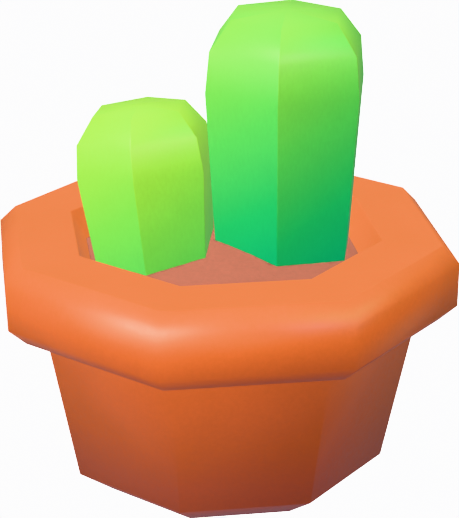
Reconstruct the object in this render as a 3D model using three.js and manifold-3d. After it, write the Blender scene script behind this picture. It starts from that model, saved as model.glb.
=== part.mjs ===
// Two ribbed column cacti growing in an eight-sided clay pot.
// Millimetres, +Z up. The origin is the middle of the pot's foot, on the surface it stands on.
// The front flat of the pot faces -Y.
import * as THREE from "three";
import { mergeVertices } from "three/addons/utils/BufferGeometryUtils.js";
import Module from "manifold-3d";

const wasm = await Module();
wasm.setup();

// ---- driving dimensions -----------------------------------------------------------------

const GAP = 0.3; // clearance left between two pieces that touch

// The pot: widths are across its flats, heights are above the foot.
const POT = {
  sides: 8,
  footWidth: 65.7,
  heelWidth: 84.3,
  heelHeight: 7.4,
  neckWidth: 99.8,
  rimWidth: 120,
  rimUnderWidth: 110.6,
  rimUnderHeight: 50,
  rimLowHeight: 54.8,
  rimHighHeight: 67,
  rimTopWidth: 111.3,
  height: 71.7,
  lipWidth: 80.9,
  floorWidth: 66,
  floorHeight: 9,
  drainRadius: 5,
  drainSides: 32,
};

// The soil: a low mound that meets the pot's inner wall below the lip.
const SOIL = {
  edgeWidth: 73,
  edgeHeight: 64,
  peakHeight: 70,
};

// Each stem is a six-sided column that widens upward, turns in at the shoulder and ends in a
// small crown. Heights run along the stem from the point at, radii go to its corners, and taper
// is how much the radius shrinks for each millimetre below the widest ring. Under the soil, from
// the collar down, the stem narrows by heel to its root.
const STEM_SIDES = 6;
const TALL = {
  at: [16.9, 1, 65],
  leanAcross: 0,
  leanBack: 0,
  turn: -15,
  taper: 0.07,
  widest: { height: 45.8, radius: 23.4 },
  shoulder: { height: 57, radius: 22.25 },
  crown: { height: 64.9, radius: 15.95 },
  crownRise: 1.2,
  collar: -0.5,
  heel: 3,
  rootDepth: 15,
};
const SHORT = {
  at: [-18.7, -0.8, 65],
  leanAcross: -5,
  leanBack: 5,
  turn: -15,
  taper: 0.1,
  widest: { height: 24.7, radius: 19.65 },
  shoulder: { height: 33.6, radius: 18.65 },
  crown: { height: 40.5, radius: 13.3 },
  crownRise: 1,
  collar: -3,
  heel: 3,
  rootDepth: 15,
};

const COLOURS = {
  clay: { color: 0xe8763c, roughness: 0.55, metalness: 0 },
  soil: { color: 0xcb7d63, roughness: 0.9, metalness: 0 },
  tallSkin: { color: 0x4fd268, roughness: 0.5, metalness: 0 },
  shortSkin: { color: 0x98e84f, roughness: 0.5, metalness: 0 },
};

// ---- shape helpers ----------------------------------------------------------------------

// A corner's distance from the axis, for a regular polygon of a given width across its flats.
const cornerRadius = (width, sides) => width / 2 / Math.cos(Math.PI / sides);

// Turns a profile of [radius, height] pairs round the Z axis in flat-sided steps.
function turned(profile, sides, startAngle) {
  const points = profile.map(([radius, height]) => new THREE.Vector2(radius, height));
  const geometry = new THREE.LatheGeometry(points, sides, startAngle);
  return geometry.rotateX(Math.PI / 2);
}

// A closed geometry as a solid that can be cut.
function solidOf(geometry) {
  const bare = geometry.clone();
  bare.deleteAttribute("normal");
  bare.deleteAttribute("uv");
  const merged = mergeVertices(bare, 1e-4);
  return new wasm.Manifold(
    new wasm.Mesh({
      numProp: 3,
      vertProperties: merged.attributes.position.array,
      triVerts: new Uint32Array(merged.index.array),
    }),
  );
}

// A cut solid back as a geometry with flat faces.
function geometryOf(solid) {
  const mesh = solid.getMesh();
  const positions = new Float32Array(mesh.numVert * 3);
  for (let i = 0; i < mesh.numVert; i++) {
    const start = i * mesh.numProp;
    positions.set(mesh.vertProperties.subarray(start, start + 3), i * 3);
  }
  const geometry = new THREE.BufferGeometry();
  geometry.setAttribute("position", new THREE.BufferAttribute(positions, 3));
  geometry.setIndex(new THREE.BufferAttribute(mesh.triVerts, 1));
  const faceted = geometry.toNonIndexed();
  faceted.computeVertexNormals();
  return faceted;
}

function piece(name, geometry, finish) {
  const material = new THREE.MeshStandardMaterial({ ...finish, flatShading: true });
  const mesh = new THREE.Mesh(geometry, material);
  mesh.name = name;
  return mesh;
}

// ---- the pot ----------------------------------------------------------------------------

// Half a side's angle: turned by this much, the pot shows a flat to the front.
const HALF_SIDE = Math.PI / POT.sides;

function potGeometry() {
  const ring = (width, height) => [cornerRadius(width, POT.sides), height];
  const hollow = [
    [0, POT.floorHeight],
    ring(POT.floorWidth, POT.floorHeight),
    ring(SOIL.edgeWidth, SOIL.edgeHeight),
    ring(POT.lipWidth, POT.height),
  ];
  const outside = [
    ring(POT.rimTopWidth, POT.height),
    ring(POT.rimWidth, POT.rimHighHeight),
    ring(POT.rimWidth, POT.rimLowHeight),
    ring(POT.rimUnderWidth, POT.rimUnderHeight),
    ring(POT.neckWidth, POT.rimUnderHeight),
    ring(POT.heelWidth, POT.heelHeight),
    ring(POT.footWidth, 0),
    [0, 0],
  ];
  const profile = [...hollow, ...outside].reverse();
  const shell = solidOf(turned(profile, POT.sides, HALF_SIDE));

  // The drainage hole, straight through the floor.
  const length = 3 * POT.floorHeight;
  const drill = new THREE.CylinderGeometry(
    POT.drainRadius,
    POT.drainRadius,
    length,
    POT.drainSides,
  );
  drill.rotateX(Math.PI / 2);
  return geometryOf(shell.subtract(solidOf(drill)));
}

// ---- the stems --------------------------------------------------------------------------

// A stem along +Z from its own origin. With clearance it is the pocket that the stem stands in.
function stemGeometry(stem, clearance = 0) {
  const radiusAt = (height) => stem.widest.radius - stem.taper * (stem.widest.height - height);
  const grow = cornerRadius(2 * clearance, STEM_SIDES);
  const rootTop = stem.collar - stem.heel;
  const rootEnd = -stem.rootDepth - clearance;
  const rootRadius = radiusAt(rootTop) - stem.heel;
  const profile = [
    [0, rootEnd],
    [rootRadius - stem.heel + grow, rootEnd],
    [rootRadius + grow, rootTop - stem.heel],
    [rootRadius + grow, rootTop],
    [radiusAt(stem.collar) + grow, stem.collar],
    [stem.widest.radius + grow, stem.widest.height],
    [stem.shoulder.radius + grow, stem.shoulder.height],
    [stem.crown.radius + grow, stem.crown.height],
    [0, stem.crown.height + stem.crownRise],
  ];
  return turned(profile, STEM_SIDES, 0);
}

// Stands an object on the stem's point, leaning and turned as the stem grows.
function plant(object, stem) {
  const across = Math.tan(THREE.MathUtils.degToRad(stem.leanAcross));
  const back = Math.tan(THREE.MathUtils.degToRad(stem.leanBack));
  const up = new THREE.Vector3(0, 0, 1);
  const growth = new THREE.Vector3(across, back, 1).normalize();
  const turn = new THREE.Quaternion().setFromAxisAngle(up, THREE.MathUtils.degToRad(stem.turn));
  object.position.set(...stem.at);
  object.quaternion.setFromUnitVectors(up, growth).multiply(turn);
  object.updateMatrix();
  return object;
}

function stemPiece(name, stem, finish) {
  return plant(piece(name, stemGeometry(stem), finish), stem);
}

// The pocket in the soil for a stem, in the pot's frame.
function pocket(stem) {
  const { matrix } = plant(new THREE.Object3D(), stem);
  return solidOf(stemGeometry(stem, GAP).applyMatrix4(matrix));
}

// ---- the soil ---------------------------------------------------------------------------

function soilGeometry() {
  const ring = (width, height) => [cornerRadius(width - 2 * GAP, POT.sides), height];
  const profile = [
    [0, POT.floorHeight + GAP],
    ring(POT.floorWidth, POT.floorHeight + GAP),
    ring(SOIL.edgeWidth, SOIL.edgeHeight),
    [0, SOIL.peakHeight],
  ];
  const mound = solidOf(turned(profile, POT.sides, HALF_SIDE));
  return geometryOf(mound.subtract(pocket(TALL)).subtract(pocket(SHORT)));
}

// ---- the potted plants ------------------------------------------------------------------

const pottedCacti = new THREE.Group();
pottedCacti.add(
  piece("pot", potGeometry(), COLOURS.clay),
  piece("soil", soilGeometry(), COLOURS.soil),
  stemPiece("tall_cactus", TALL, COLOURS.tallSkin),
  stemPiece("short_cactus", SHORT, COLOURS.shortSkin),
);

export default pottedCacti;
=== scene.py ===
"""Two six-sided column cacti in an eight-sided clay pot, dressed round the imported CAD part.

The part's lengths and the camera's place are in millimetres, as in the CAD part, and become
metres where they are used. The floor and the lamps are in metres. Angles are in degrees.
"""

import math
from collections import namedtuple

import bpy
import numpy as np
from mathutils import Matrix, Vector, noise


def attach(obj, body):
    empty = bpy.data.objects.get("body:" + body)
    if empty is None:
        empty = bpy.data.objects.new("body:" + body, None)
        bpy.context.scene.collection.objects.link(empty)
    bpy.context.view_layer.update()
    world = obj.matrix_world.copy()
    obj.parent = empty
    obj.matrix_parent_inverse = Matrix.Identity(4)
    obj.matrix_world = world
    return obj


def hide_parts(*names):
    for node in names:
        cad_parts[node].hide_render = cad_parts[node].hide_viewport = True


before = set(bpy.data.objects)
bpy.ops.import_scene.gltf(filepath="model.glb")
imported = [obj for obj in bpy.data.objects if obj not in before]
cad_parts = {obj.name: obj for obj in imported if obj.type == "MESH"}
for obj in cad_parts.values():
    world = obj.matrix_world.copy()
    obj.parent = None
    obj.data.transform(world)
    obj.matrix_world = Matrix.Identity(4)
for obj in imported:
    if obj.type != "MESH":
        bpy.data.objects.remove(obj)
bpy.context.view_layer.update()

MM = 0.001
FRONT = -90  # the direction of -Y, turned from +X

# ---- dimensions, as in the CAD part -------------------------------------------------------

POT_SIDES = 8
FOOT = (32.85, 0)  # each pair is the distance from the axis to a flat, and the height
HEEL = (42.15, 7.4)
NECK = (49.9, 50)
RIM_UNDER = (55.3, 50)
RIM_LOW = (60, 54.8)
RIM_HIGH = (60, 67)
RIM_TOP = (55.65, 71.7)
LIP = (40.45, 71.7)
SOIL_LINE = (36.5, 64)
FLOOR = (33, 9)
DRAIN_RADIUS = 5
SOIL_PEAK = 70

# Heights run along the stem from the point at, and radii go to its corners. Taper is how much
# the radius shrinks for each millimetre below the widest ring.
STEM_SIDES = 6
Stem = namedtuple("Stem", "at lean_across lean_back turn taper widest shoulder crown rise collar")
TALL = Stem(
    at=(16.9, 1, 65),
    lean_across=0,
    lean_back=0,
    turn=-15,
    taper=0.07,
    widest=(45.8, 23.4),  # each pair is a height and a radius
    shoulder=(57, 22.25),
    crown=(64.9, 15.95),
    rise=1.2,
    collar=-0.5,
)
SHORT = Stem(
    at=(-18.7, -0.8, 65),
    lean_across=-5,
    lean_back=5,
    turn=-15,
    taper=0.1,
    widest=(24.7, 19.65),
    shoulder=(33.6, 18.65),
    crown=(40.5, 13.3),
    rise=1,
    collar=-3,
)
STEM_HEEL = 3  # how far a stem turns in under its collar, and again at the end of its root
ROOT_DEPTH = 15

# ---- lofted meshes ------------------------------------------------------------------------

# A corner of a profile: its place, and the way that the surface faces before and after it, as
# the angle above the horizontal. Equal angles make the shading run on across the corner. With
# softness 0 the shading follows the flats there, and with 1 it turns evenly, as on a cylinder.
Corner = namedtuple("Corner", "reach height before after softness", defaults=(1,))

# A ring of points: its distance to a flat, its height and the way that the surface faces there.
Row = namedtuple("Row", "reach height direction softness", defaults=(1,))

SPAN_STEPS = 8  # steps between two corners of a profile
FLAT_STEPS = 10  # steps along a flat
ARC_STEPS = 3  # steps round a corner of a profile, or round half a corner of a ring
MOST_ROUNDED = 0.3  # the largest share of a span or a reach that a rounded corner takes
NEARLY_SHARP = 0.01  # the fillet of the polygon that is pushed out to make a circle
ON_AXIS = 1e-6  # a reach below this is a single point
ALONG_FLAT = "along_flat"


def facing(angle):
    """The direction at an angle above the horizontal, as (outward, upward)."""
    return np.array([math.cos(math.radians(angle)), math.sin(math.radians(angle))])


def between(a, b, share):
    """A direction part of the way from a to b."""
    mixed = (1 - share) * a + share * b
    return mixed / np.linalg.norm(mixed)


def place_of(spot):
    """A corner or a row as a point of the profile."""
    return np.array([spot.reach, spot.height], float)


def corner_cut(before, corner, after, radius):
    """How much a rounded corner takes from the spans on either side of it."""
    back = place_of(before) - place_of(corner)
    on = place_of(after) - place_of(corner)
    shorter = min(np.linalg.norm(back), np.linalg.norm(on))
    cosine = back @ on / np.linalg.norm(back) / np.linalg.norm(on)
    half_turn = (math.pi - math.acos(max(-1, min(1, cosine)))) / 2
    return min(radius * math.tan(half_turn), MOST_ROUNDED * shorter)


def span_rows(first, last, first_cut, last_cut):
    """Rows from one corner to the next, without what their rounding takes."""
    span = place_of(last) - place_of(first)
    length = np.linalg.norm(span)
    rows = []
    for step in range(SPAN_STEPS + 1):
        at = first_cut + (length - last_cut - first_cut) * step / SPAN_STEPS
        share = at / length
        place = place_of(first) + span / length * at
        direction = between(facing(first.after), facing(last.before), share)
        softness = (1 - share) * first.softness + share * last.softness
        rows.append(Row(*place, direction, softness))
    return rows


def arc_rows(start, corner, end):
    """Rows round a corner, between the last row before it and the first row after it."""
    rows = []
    for step in range(1, ARC_STEPS):
        s = step / ARC_STEPS
        place = (1 - s) ** 2 * place_of(start) + 2 * s * (1 - s) * place_of(corner)
        place += s * s * place_of(end)
        direction = between(start.direction, end.direction, s)
        rows.append(Row(*place, direction, corner.softness))
    return rows


def rounded_profile(corners, radius, closed=False):
    """Rows along a profile, with its corners rounded and its spans cut up."""
    count = len(corners)
    cuts = [
        corner_cut(corners[i - 1], corners[i], corners[(i + 1) % count], radius)
        for i in range(count)
    ]
    if not closed:
        cuts[0] = cuts[-1] = 0
    spans = []
    for i in range(count if closed else count - 1):
        j = (i + 1) % count
        spans.append(span_rows(corners[i], corners[j], cuts[i], cuts[j]))
    rows = []
    for i, span in enumerate(spans):
        rows += span
        if closed or i < len(spans) - 1:
            next_span = spans[(i + 1) % len(spans)]
            rows += arc_rows(span[-1], corners[(i + 1) % count], next_span[0])
    return rows


def polygon_ring(sides, reach, fillet, turn, softness):
    """Points round a regular polygon with rounded corners.

    With them come the angle that each one faces, and how far along its flat it lies.
    """
    half = math.pi / sides
    fillet = min(fillet, MOST_ROUNDED * reach)
    end = (reach - fillet) * math.tan(half)
    arc = np.linspace(0, half, ARC_STEPS + 1)
    flat = np.linspace(-end, end, FLAT_STEPS + 1)
    out = np.concatenate([
        reach - fillet + fillet * np.cos(-arc[:0:-1]),
        np.full(len(flat), reach),
        reach - fillet + fillet * np.cos(arc[1:-1]),
    ])
    along = np.concatenate([
        -end - fillet * np.sin(arc[:0:-1]),
        flat,
        end + fillet * np.sin(arc[1:-1]),
    ])
    crisp = np.concatenate([-arc[:0:-1], np.zeros(len(flat)), arc[1:-1]])
    soft = np.arctan2(along, out)
    offset = (1 - softness) * crisp + softness * soft
    points, angles = [], []
    for side in range(sides):
        middle = math.radians(turn) + 2 * math.pi * side / sides
        c, s = math.cos(middle), math.sin(middle)
        points.append(np.stack([out * c - along * s, out * s + along * c], 1))
        angles.append(middle + offset)
    return np.concatenate(points), np.concatenate(angles), np.tile(along, sides)


def loft_faces(rings, closed):
    """Faces between each ring of point numbers and the next. A ring may be a single point."""
    faces = []
    loops = list(zip(rings, rings[1:]))
    if closed:
        loops.append((rings[-1], rings[0]))
    for lower, upper in loops:
        count = max(len(lower), len(upper))
        for j in range(count):
            k = (j + 1) % count
            if len(lower) == 1:
                faces.append((lower[0], upper[k], upper[j]))
            elif len(upper) == 1:
                faces.append((lower[j], lower[k], upper[0]))
            else:
                faces.append((lower[j], lower[k], upper[k], upper[j]))
    return faces


def loft(name, rows, sides, fillet, turn, closed=False, round_below=0):
    """A mesh through polygon rings, one for each row.

    A row whose reach is 0 is a single point on the axis. Rows whose reach is round_below or
    less are circles. The attribute ALONG_FLAT says how far along its flat a point lies.
    """
    points, normals, rings, places = [], [], [], []
    circle, _, _ = polygon_ring(sides, 1, NEARLY_SHARP, turn, 0)
    circle /= np.linalg.norm(circle, axis=1)[:, None]
    for row in rows:
        outward, upward = row.direction
        first = len(points)
        if row.reach < ON_AXIS:
            points.append((0, 0, row.height))
            normals.append((0, 0, math.copysign(1, upward)))
            places.append(0)
        else:
            around, angles, along = polygon_ring(sides, row.reach, fillet, turn, row.softness)
            if row.reach <= round_below:
                around, angles = row.reach * circle, np.arctan2(circle[:, 1], circle[:, 0])
            for (x, y), angle, place in zip(around, angles, along):
                points.append((x, y, row.height))
                normals.append((outward * math.cos(angle), outward * math.sin(angle), upward))
                places.append(place)
        rings.append(list(range(first, len(points))))
    faces = loft_faces(rings, closed)
    mesh = bpy.data.meshes.new(name)
    mesh.from_pydata(np.array(points) * MM, [], faces)
    mesh.polygons.foreach_set("use_smooth", [True] * len(faces))
    mesh.normals_split_custom_set_from_vertices(normals)
    mesh.attributes.new(ALONG_FLAT, "FLOAT", "POINT").data.foreach_set("value", places)
    piece = bpy.data.objects.new(name, mesh)
    bpy.context.scene.collection.objects.link(piece)
    return piece


# ---- materials ----------------------------------------------------------------------------

SHINE = 0.385  # the specular level of every finish
SATIN = (0.38, 0.46)  # the least and the most roughness of a finish of this kind
MATT = (0.6, 0.8)
NOISE_RANGE = (0.3, 0.7)  # the range of a noise that is used; what lies past it is cut off
WAVE = 2  # how far a wavy height rises and falls, in millimetres

# The third colour is a painted cool tint low on the pot. It stands in for bluish light from
# below.
CLAY_DARK, CLAY_LIGHT, CLAY_PAINTED_COOL_LIGHT = "d57147", "db744a", "d87457"
PAINTED_COOL_LIGHT_RANGE = (13, 27)  # heights between which the painted cool tint low on the pot fades out
SOIL_DARK, SOIL_LIGHT = "a25e5b", "a7615e"

# Each stem's colours, from the soil to the crown, by its slanting height, fitted to the photo.
TALL_SLOPE = 0.6
TALL_COLOURS = [
    (-8, "03b17c"),
    (13, "2dc274"),
    (37, "5cd66b"),
    (55, "7bdf64"),
    (76, "95de62"),
]
SHORT_SLOPE = 0.5
SHORT_COLOURS = [
    (-8, "5ed66c"),
    (13, "80e162"),
    (25, "97e95e"),
    (49, "a9e55a"),
]


def linear(code):
    """A hex colour as Blender's linear values."""
    parts = [int(code[i : i + 2], 16) / 255 for i in (0, 2, 4)]
    return [p / 12.92 if p <= 0.04045 else ((p + 0.055) / 1.055) ** 2.4 for p in parts] + [1]


def fill_ramp(node, stops):
    """Gives a colour ramp its stops, each a position from 0 to 1 and a linear colour."""
    elements = node.color_ramp.elements
    for i, (position, colour) in enumerate(stops):
        element = elements[i] if i in (0, 1) else elements.new(position)
        element.position = position
        element.color = colour


class Finish:
    """A material whose nodes read the piece's own coordinates, in millimetres."""

    def __init__(self, name):
        self.material = bpy.data.materials.new(name)
        self.material.use_nodes = True
        self.nodes = self.material.node_tree.nodes
        self.links = self.material.node_tree.links
        self.shader = self.nodes["Principled BSDF"]
        self.shader.inputs["Specular IOR Level"].default_value = SHINE
        place = self.nodes.new("ShaderNodeTexCoord")
        self.place = self.vector("SCALE", place.outputs["Object"], 1 / MM)

    def feed(self, socket, value):
        """Links a node's output to a socket, or sets the socket to a constant."""
        if isinstance(value, bpy.types.NodeSocket):
            self.links.new(value, socket)
        else:
            socket.default_value = value

    def vector(self, operation, first, second):
        node = self.nodes.new("ShaderNodeVectorMath")
        node.operation = operation
        self.feed(node.inputs[0], first)
        self.feed(node.inputs["Scale" if operation == "SCALE" else 1], second)
        return node.outputs["Value" if operation == "DOT_PRODUCT" else "Vector"]

    def math(self, operation, first, second):
        node = self.nodes.new("ShaderNodeMath")
        node.operation = operation
        self.feed(node.inputs[0], first)
        self.feed(node.inputs[1], second)
        return node.outputs["Value"]

    def noise(self, size, detail, roughness=0.5, stretch=(1, 1, 1)):
        """Noise from 0 to 1 whose patches are about size across."""
        node = self.nodes.new("ShaderNodeTexNoise")
        node.inputs["Scale"].default_value = 1 / size
        node.inputs["Detail"].default_value = detail
        node.inputs["Roughness"].default_value = roughness
        self.links.new(self.vector("DIVIDE", self.place, stretch), node.inputs["Vector"])
        return node.outputs["Fac"]

    def spread(self, value, low, high, to_low=0.0, to_high=1.0):
        """A value taken from one range to another, and kept inside it."""
        node = self.nodes.new("ShaderNodeMapRange")
        self.feed(node.inputs["Value"], value)
        node.inputs["From Min"].default_value = low
        node.inputs["From Max"].default_value = high
        node.inputs["To Min"].default_value = to_low
        node.inputs["To Max"].default_value = to_high
        return node.outputs["Result"]

    def varied(self, patches, low=0.0, high=1.0):
        """A noise taken to another range."""
        return self.spread(patches, *NOISE_RANGE, low, high)

    def mix(self, share, first, second):
        node = self.nodes.new("ShaderNodeMix")
        node.data_type = "RGBA"
        self.feed(node.inputs["Factor"], share)
        self.feed(node.inputs["A"], first)
        self.feed(node.inputs["B"], second)
        return node.outputs["Result"]

    def ramp(self, value, stops):
        """A colour that runs through stops, each a value and a hex colour."""
        low, high = stops[0][0], stops[-1][0]
        node = self.nodes.new("ShaderNodeValToRGB")
        fill_ramp(node, [((at - low) / (high - low), linear(code)) for at, code in stops])
        self.feed(node.inputs["Fac"], self.spread(value, low, high))
        return node.outputs["Color"]

    def height(self):
        """Height in the piece's own coordinates."""
        return self.vector("DOT_PRODUCT", self.place, (0, 0, 1))

    def slanting_height(self, slope):
        """Height up a stem, less slope times the distance to the right of its flat's middle."""
        along = self.nodes.new("ShaderNodeAttribute")
        along.attribute_name = ALONG_FLAT
        drop = self.math("MULTIPLY", along.outputs["Fac"], slope)
        return self.math("SUBTRACT", self.height(), drop)

    def wavy_height(self, patches):
        """Height above the foot, raised and lowered by a noise."""
        return self.math("ADD", self.height(), self.varied(patches, -WAVE, WAVE))

    def shaded(self, colour, patches, depth):
        """A colour made up to a share of depth darker and lighter by a noise."""
        return self.vector("SCALE", colour, self.varied(patches, 1 - depth, 1 + depth))

    def bump(self, relief, depth):
        """Relief that is depth millimetres deep."""
        node = self.nodes.new("ShaderNodeBump")
        node.inputs["Distance"].default_value = depth * MM
        self.feed(node.inputs["Height"], relief)
        self.links.new(node.outputs["Normal"], self.shader.inputs["Normal"])

    def surface(self, colour, roughness):
        """Feeds the shader its colour and its roughness."""
        self.feed(self.shader.inputs["Base Color"], colour)
        self.feed(self.shader.inputs["Roughness"], roughness)


def clay():
    """Fired clay, faintly clouded and finely grained, with painted cool light low on the pot."""
    finish = Finish("fired clay")
    cloud = finish.noise(size=24, detail=3)
    grain = finish.noise(size=1.3, detail=4, roughness=0.65)
    base = finish.mix(finish.varied(cloud), linear(CLAY_DARK), linear(CLAY_LIGHT))
    # A painted cool tint, standing in for bluish light from below, fades out up the body.
    painted_cool_light = finish.spread(finish.wavy_height(cloud), *PAINTED_COOL_LIGHT_RANGE, 1, 0)
    base = finish.mix(painted_cool_light, base, linear(CLAY_PAINTED_COOL_LIGHT))
    finish.surface(finish.shaded(base, grain, depth=0.035), finish.varied(grain, *SATIN))
    finish.bump(finish.noise(size=0.9, detail=4, roughness=0.6), depth=0.018)
    return finish.material


def earth():
    """Moist soil in fine crumbs."""
    finish = Finish("moist soil")
    cloud = finish.noise(size=12, detail=3)
    crumb = finish.noise(size=1.2, detail=4, roughness=0.7)
    base = finish.mix(finish.varied(cloud), linear(SOIL_DARK), linear(SOIL_LIGHT))
    finish.surface(finish.shaded(base, crumb, depth=0.1), finish.varied(crumb, *MATT))
    finish.bump(crumb, depth=0.08)
    return finish.material


def skin(name, slope, stops):
    """A waxy skin whose colour runs up the stem, slanting across each flat."""
    finish = Finish(name)
    base = finish.ramp(finish.slanting_height(slope), stops)
    base = finish.shaded(base, finish.noise(size=9, detail=2), depth=0.018)
    speck = finish.noise(size=0.7, detail=3, roughness=0.6, stretch=(1, 1, 2.5))
    finish.surface(finish.shaded(base, speck, depth=0.025), finish.varied(speck, *SATIN))
    finish.bump(speck, depth=0.012)
    return finish.material


# ---- the pot ------------------------------------------------------------------------------

POT_FILLET = 0.6
ROUND_REACH = 1.2 * DRAIN_RADIUS  # rings round the drainage hole are circles out to here

pot_profile = [
    Corner(*FOOT, -90, -62),
    Corner(*HEEL, -45, -45),
    Corner(*NECK, -14, -90),
    Corner(*RIM_UNDER, -90, -48),
    Corner(*RIM_LOW, -20, -20),
    Corner(*RIM_HIGH, 32, 32),
    Corner(*RIM_TOP, 70, 90),
    Corner(*LIP, 90, 130),
    Corner(*SOIL_LINE, 118, 176),
    Corner(*FLOOR, 176, 90),
    Corner(DRAIN_RADIUS, FLOOR[1], 90, 180),
    Corner(DRAIN_RADIUS, 0, 180, 270),
]
pot = loft(
    "clay_pot",
    rounded_profile(pot_profile, POT_FILLET, closed=True),
    POT_SIDES,
    POT_FILLET,
    FRONT,
    closed=True,
    round_below=ROUND_REACH,
)

# ---- the stems ----------------------------------------------------------------------------

STEM_FILLET = 0.35
STEM_HALF_SIDE = 180 / STEM_SIDES
CROWN_SOFTNESS = 0.8


def stem_profile(stem, grow=0.0):
    """The corners of a stem's profile. Grown a little, it is the pocket for the stem."""
    flat_share = math.cos(math.radians(STEM_HALF_SIDE))

    def radius_at(height):
        return stem.widest[1] - stem.taper * (stem.widest[0] - height)

    def corner(height, radius, before, after, softness=0):
        reach = radius * flat_share + grow if radius else 0
        return Corner(reach, height, before, after, softness)

    root_top = stem.collar - STEM_HEEL
    root_radius = radius_at(root_top) - STEM_HEEL
    return [
        corner(-ROOT_DEPTH - grow, 0, -90, -90),
        corner(-ROOT_DEPTH - grow, root_radius - STEM_HEEL, -90, -60),
        corner(root_top - STEM_HEEL, root_radius, -30, 0),
        corner(root_top, root_radius, 0, -45),
        corner(stem.collar, radius_at(stem.collar), -45, -4),
        corner(*stem.widest, 1, 1),
        corner(*stem.shoulder, 21, 21),
        corner(*stem.crown, 62, 62, CROWN_SOFTNESS),
        corner(stem.crown[0] + stem.rise, 0, 90, 90, softness=1),
    ]


def stem_matrix(stem):
    """The stem's place: on its point, leaning the way that it grows."""
    lean = [math.tan(math.radians(a)) for a in (stem.lean_across, stem.lean_back)]
    growth = Vector((*lean, 1)).normalized()
    tilt = Vector((0, 0, 1)).rotation_difference(growth).to_matrix().to_4x4()
    return Matrix.Translation(Vector(stem.at) * MM) @ tilt


def stem_piece(name, stem, grow=0.0):
    """A stem. Before its turn, a corner points to the front, as in the CAD part."""
    rows = rounded_profile(stem_profile(stem, grow), STEM_FILLET)
    turn = FRONT + STEM_HALF_SIDE + stem.turn
    piece = loft(name, rows, STEM_SIDES, STEM_FILLET, turn)
    piece.matrix_world = stem_matrix(stem)
    return piece


tall = stem_piece("tall_stem", TALL)
short = stem_piece("short_stem", SHORT)

# ---- the soil -----------------------------------------------------------------------------

SOIL_CLEARANCE = 0.05  # between the soil and the pot
POCKET_CLEARANCE = 0.04  # between the soil and a stem
SOIL_STEPS = 44  # steps from the edge of the mound to its middle
SOIL_FACING = 80  # the angle above the horizontal that the mound faces
SOIL_BLUNTING = 0.2  # how far the mound's middle stays below its peak
SHARP_ANGLE = 35  # faces that meet at more than this keep a crisp edge

CRUMB_HEIGHT = 0.14
CRUMB_SIZE = 1.7
CRUMB_MARGIN = 0.05  # the crumbs begin this far above the mound's edge
CRUMB_FRACTAL = (0.6, 2.1, 3)  # the increment factor, the lacunarity and the octaves


def soil_rows():
    """Rows from the middle of the pot's floor, up its wall and over the mound."""
    reach, edge_height = SOIL_LINE[0] - SOIL_CLEARANCE, SOIL_LINE[1]
    low_reach, low_height = FLOOR[0] - SOIL_CLEARANCE, FLOOR[1] + SOIL_CLEARANCE
    rows = [
        Row(0, low_height, facing(-90)),
        Row(low_reach - POT_FILLET, low_height, facing(-90)),  # clears the pot's rounded corner
        Row(low_reach, low_height + POT_FILLET, facing(0)),
        Row(reach, edge_height, facing(0)),
    ]
    for step in range(1, SOIL_STEPS):
        s = 1 - step / SOIL_STEPS
        height = SOIL_PEAK - (SOIL_PEAK - edge_height) * s
        rows.append(Row(reach * s, height, facing(SOIL_FACING)))
    rows.append(Row(0, SOIL_PEAK - SOIL_BLUNTING, facing(90)))
    return rows


def raise_crumbs(mesh):
    """Raises and lowers the top of the mound by a noise."""
    for vertex in mesh.vertices:
        x, y, z = vertex.co / MM
        if z > SOIL_LINE[1] + CRUMB_MARGIN:
            spot = Vector((x, y, 0)) / CRUMB_SIZE
            vertex.co.z += CRUMB_HEIGHT * noise.fractal(spot, *CRUMB_FRACTAL) * MM


def cut_pocket(piece, stem):
    """Takes a slightly grown stem out of a piece."""
    pocket = stem_piece("pocket", stem, POCKET_CLEARANCE)
    cut = piece.modifiers.new("pocket", "BOOLEAN")
    cut.object = pocket
    cut.solver = "EXACT"
    bpy.context.view_layer.update()
    depsgraph = bpy.context.evaluated_depsgraph_get()
    cut_mesh = bpy.data.meshes.new_from_object(piece.evaluated_get(depsgraph))
    piece.modifiers.remove(cut)
    piece.data = cut_mesh
    bpy.data.objects.remove(pocket)


def soil_piece():
    piece = loft("potting_soil", soil_rows(), POT_SIDES, POT_FILLET, FRONT)
    raise_crumbs(piece.data)
    for stem in (TALL, SHORT):
        cut_pocket(piece, stem)
    piece.data.set_sharp_from_angle(angle=math.radians(SHARP_ANGLE))
    return piece


soil = soil_piece()

# ---- finishes and frame -------------------------------------------------------------------

tall_skin = skin("tall stem skin", TALL_SLOPE, TALL_COLOURS)
short_skin = skin("short stem skin", SHORT_SLOPE, SHORT_COLOURS)

for piece, finish, node, slot in (
    (pot, clay(), "pot", "clay"),
    (soil, earth(), "soil", "soil"),
    (tall, tall_skin, "tall_cactus", "tall_skin"),
    (short, short_skin, "short_cactus", "short_skin"),
):
    piece.data.materials.clear()
    piece.data.materials.append(finish)
    # The light of the photo reaches every recess, so no piece shades another.
    piece.visible_diffuse = False
    piece.visible_glossy = False
    piece.visible_transmission = False
    piece.visible_shadow = False
    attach(piece, "root")
    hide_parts(node)

# ---- the floor, in metres -----------------------------------------------------------------

scene = bpy.context.scene

SWEEP_RADIUS = 3.0
SWEEP_BEND = 1.2  # the radius of the bend between the floor and the wall
SWEEP_HEIGHT = 6.0
SWEEP_SIDES = 64
SWEEP_STEPS = 12  # steps round the bend
FLOOR_GAP = 0.00005  # keeps the floor and the pot's foot out of one plane
FLOOR_COLOUR = (0.05, 0.05, 0.05, 1)
FLOOR_ROUGHNESS = 0.9
FLOOR_GLOW = (0.98, 0.98, 1, 1)
FLOOR_GLOW_STRENGTH = 3.6


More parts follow.
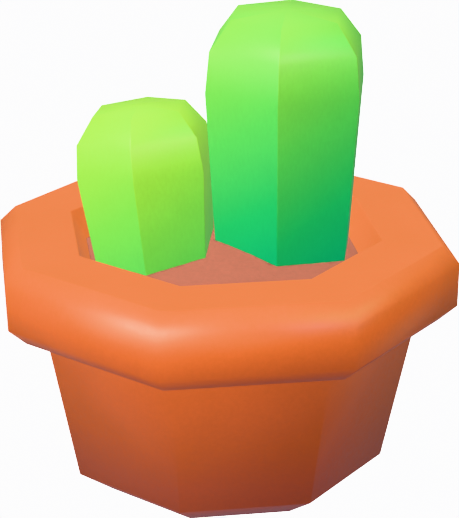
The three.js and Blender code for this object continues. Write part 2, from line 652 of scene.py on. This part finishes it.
def sweep_profile():
    """(reach, height) from the edge of the flat floor, round the bend and up the wall."""
    profile = [(SWEEP_RADIUS - SWEEP_BEND, 0)]
    for step in range(1, SWEEP_STEPS + 1):
        a = math.pi / 2 * step / SWEEP_STEPS
        reach = SWEEP_RADIUS - SWEEP_BEND * (1 - math.sin(a))
        profile.append((reach, SWEEP_BEND * (1 - math.cos(a))))
    profile.append((SWEEP_RADIUS, SWEEP_HEIGHT))
    return profile


def sweep_mesh():
    """The floor's profile turned round the Z axis, with a fan of faces in the middle."""
    profile = sweep_profile()
    points = [(0, 0, 0)]
    faces = []
    for reach, height in profile:
        for side in range(SWEEP_SIDES):
            a = 2 * math.pi * side / SWEEP_SIDES
            points.append((reach * math.cos(a), reach * math.sin(a), height))
    for side in range(SWEEP_SIDES):
        after = (side + 1) % SWEEP_SIDES
        faces.append((0, 1 + side, 1 + after))
        for ring in range(len(profile) - 1):
            inner, outer = 1 + ring * SWEEP_SIDES, 1 + (ring + 1) * SWEEP_SIDES
            faces.append((inner + side, outer + side, outer + after, inner + after))
    mesh = bpy.data.meshes.new("floor")
    mesh.from_pydata(points, [], faces)
    mesh.polygons.foreach_set("use_smooth", [True] * len(faces))
    return mesh


def floor_material():
    material = bpy.data.materials.new("pale floor")
    material.use_nodes = True
    shader = material.node_tree.nodes["Principled BSDF"]
    shader.inputs["Base Color"].default_value = FLOOR_COLOUR
    shader.inputs["Roughness"].default_value = FLOOR_ROUGHNESS
    shader.inputs["Emission Color"].default_value = FLOOR_GLOW
    shader.inputs["Emission Strength"].default_value = FLOOR_GLOW_STRENGTH
    return material


def floor_piece():
    """A round pale floor that sweeps up into a wall. It glows, but lights no other piece."""
    floor = bpy.data.objects.new("floor", sweep_mesh())
    floor.location.z = -FLOOR_GAP
    floor.data.materials.append(floor_material())
    floor.visible_diffuse = False
    floor.visible_glossy = False
    floor.visible_shadow = False
    scene.collection.objects.link(floor)


floor_piece()

# ---- the light, in metres -----------------------------------------------------------------

# The sky's and the lamps' colours were fitted to the photo. The sky's go by the height of the
# direction, from straight down at -1 to straight up at 1.
SKY = [
    (-1, (0.099, 0.124, 0.216)),
    (-0.5, (0.142, 0.159, 0.188)),
    (0, (0.137, 0.128, 0.108)),
    (0.5, (0.382, 0.342, 0.232)),
    (1, (0.934, 0.991, 0.700)),
]
SKY_STRENGTH = 2.1

# Azimuth 0 is in front of the pot, and 90 is on its +X side. A lamp that is gloss_only shows in
# reflections and adds no even light. The low fill lies under the floor, which casts no shadow.
Lamp = namedtuple("Lamp", "name azimuth elevation size power colour gloss_only")
LAMPS = [
    Lamp("left fill", -60, 20, 0.9, 12, (1, 0.935, 0.69), False),
    Lamp("front fill", 0, 20, 0.9, 10, (0.53, 0.345, 0.191), False),
    Lamp("low fill", 90, -30, 0.9, 10, (0.088, 0.112, 0.075), False),
    Lamp("key glint", -50, 42, 0.5, 37.2, (1, 0.828, 0.647), True),
    Lamp("front glint", 40, 37, 0.3, 9, (0.73, 0.42, 0.6), True),
    Lamp("side glint", 70, 50, 0.5, 10, (0, 0.535, 0.32), True),
]
LAMP_DISTANCE = 1.3
LAMPS_FACE = Vector((0, 0, 0.06))


def studio_sky():
    """A smooth sky whose colour depends on the height of the direction alone."""
    world = bpy.data.worlds.new("studio")
    scene.world = world
    world.use_nodes = True
    nodes, links = world.node_tree.nodes, world.node_tree.links
    place = nodes.new("ShaderNodeTexCoord")
    split = nodes.new("ShaderNodeSeparateXYZ")
    height = nodes.new("ShaderNodeMapRange")
    height.inputs["From Min"].default_value = -1
    sky = nodes.new("ShaderNodeValToRGB")
    fill_ramp(sky, [((at + 1) / 2, (*colour, 1)) for at, colour in SKY])
    background = nodes["Background"]
    background.inputs["Strength"].default_value = SKY_STRENGTH
    links.new(place.outputs["Generated"], split.inputs[0])
    links.new(split.outputs["Z"], height.inputs["Value"])
    links.new(height.outputs["Result"], sky.inputs["Fac"])
    links.new(sky.outputs["Color"], background.inputs["Color"])


def softbox(lamp):
    """A round lamp that faces the pot. The camera doesn't see it."""
    a, e = math.radians(lamp.azimuth), math.radians(lamp.elevation)
    outward = Vector((math.sin(a) * math.cos(e), -math.cos(a) * math.cos(e), math.sin(e)))
    data = bpy.data.lights.new(lamp.name, "AREA")
    data.shape = "DISK"
    data.size = lamp.size
    data.energy = lamp.power
    data.color = lamp.colour
    box = bpy.data.objects.new(lamp.name, data)
    box.location = LAMPS_FACE + outward * LAMP_DISTANCE
    box.rotation_euler = outward.to_track_quat("Z", "Y").to_euler()
    box.visible_camera = False
    box.visible_diffuse = not lamp.gloss_only
    scene.collection.objects.link(box)


studio_sky()
for lamp in LAMPS:
    softbox(lamp)

# ---- the camera ---------------------------------------------------------------------------

# Its place, its angles and its lens were fitted to the pot's corners in the photo.
CAMERA_AT = (-66.2945, -460.5375, 251.2339)
CAMERA_AZIMUTH = -8.402
CAMERA_ELEVATION = 22.160
CAMERA_ROLL = 0.172
LENS = 127.0
SENSOR_WIDTH = 36


def photo_camera():
    """A camera at the photo's viewing angle, with everything in focus."""
    data = bpy.data.cameras.new("photo view")
    data.lens = LENS
    data.sensor_width = SENSOR_WIDTH
    data.dof.use_dof = False
    camera = bpy.data.objects.new("photo view", data)
    turn = (
        Matrix.Rotation(math.radians(CAMERA_AZIMUTH), 4, "Z")
        @ Matrix.Rotation(math.radians(90 - CAMERA_ELEVATION), 4, "X")
        @ Matrix.Rotation(math.radians(CAMERA_ROLL), 4, "Z")
    )
    camera.matrix_world = Matrix.Translation(Vector(CAMERA_AT) * MM) @ turn
    scene.collection.objects.link(camera)
    return camera


scene.camera = photo_camera()
scene.view_settings.view_transform = "Khronos PBR Neutral"
